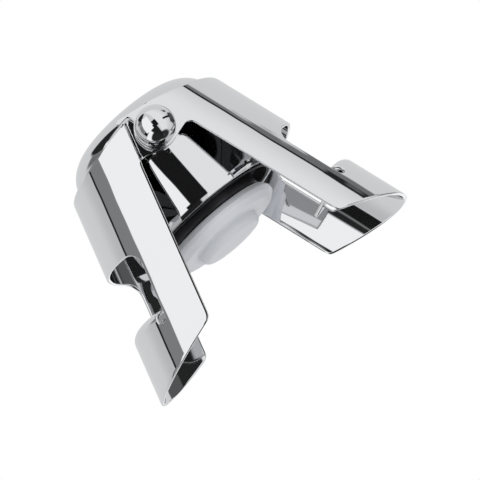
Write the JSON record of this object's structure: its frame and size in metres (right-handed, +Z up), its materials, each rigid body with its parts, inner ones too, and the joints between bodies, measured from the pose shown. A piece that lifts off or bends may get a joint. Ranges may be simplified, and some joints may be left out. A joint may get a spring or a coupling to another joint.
{
  "type": "champagne stopper",
  "caption": "Chromed cup with a spring-loaded white seal and two hinged side levers that swing in and hook under a sparkling wine bottle's lip.",
  "frame": {"origin": "on the surface that the open levers' tips stand on, below the stopper's axis", "axes": "+X from the left lever to the right one, +Y along the pivots to the rear, +Z up the stopper's axis to the closed top of the cup"},
  "size_m": [0.0646, 0.0532, 0.0488],
  "materials": {
    "chrome": "mirror-polished chrome plate",
    "plated_steel": "bright zinc-plated steel",
    "spring_steel": "drawn spring wire, lightly oiled",
    "blackened_steel": "steel blackened and dull, so that the gap round the seal looks dark",
    "silicone": "white food-grade silicone, satin"
  },
  "bodies": {
    "stopper_body": {"body_shell": "chrome", "guide_sleeve": "plated_steel", "spring_seat": "plated_steel", "compression_spring": "spring_steel", "retaining_ring": "blackened_steel", "front_pivot_rivet": "chrome", "front_head_washer": "chrome", "front_pivot_bush": "plated_steel", "front_clench_washer": "plated_steel", "rear_pivot_rivet": "chrome", "rear_head_washer": "chrome", "rear_pivot_bush": "plated_steel", "rear_clench_washer": "plated_steel"},
    "right_lever": {"right_arm": "chrome"},
    "left_lever": {"left_arm": "chrome"},
    "plunger": {"plunger_stem": "plated_steel", "stem_washer": "plated_steel", "pressure_dish": "blackened_steel", "seal": "silicone"}
  },
  "joints": [
    {"name": "right_lever_hinge", "type": "hinge", "parent": "stopper_body", "child": "right_lever", "pos_m": [0, 0, 0.03988], "axis": [0, 1, 0], "range_deg": [0, 17.1]},
    {"name": "left_lever_hinge", "type": "hinge", "parent": "stopper_body", "child": "left_lever", "pos_m": [0, 0, 0.03988], "axis": [0, -1, 0], "range_deg": [0, 17.1]},
    {"name": "plunger_slide", "type": "slide", "parent": "stopper_body", "child": "plunger", "axis": [0, 0, 1], "range_m": [0, 0.0025], "stiffness_N_per_m": 2000, "springref_m": -0.008, "deforming": ["compression_spring"]}
  ]
}
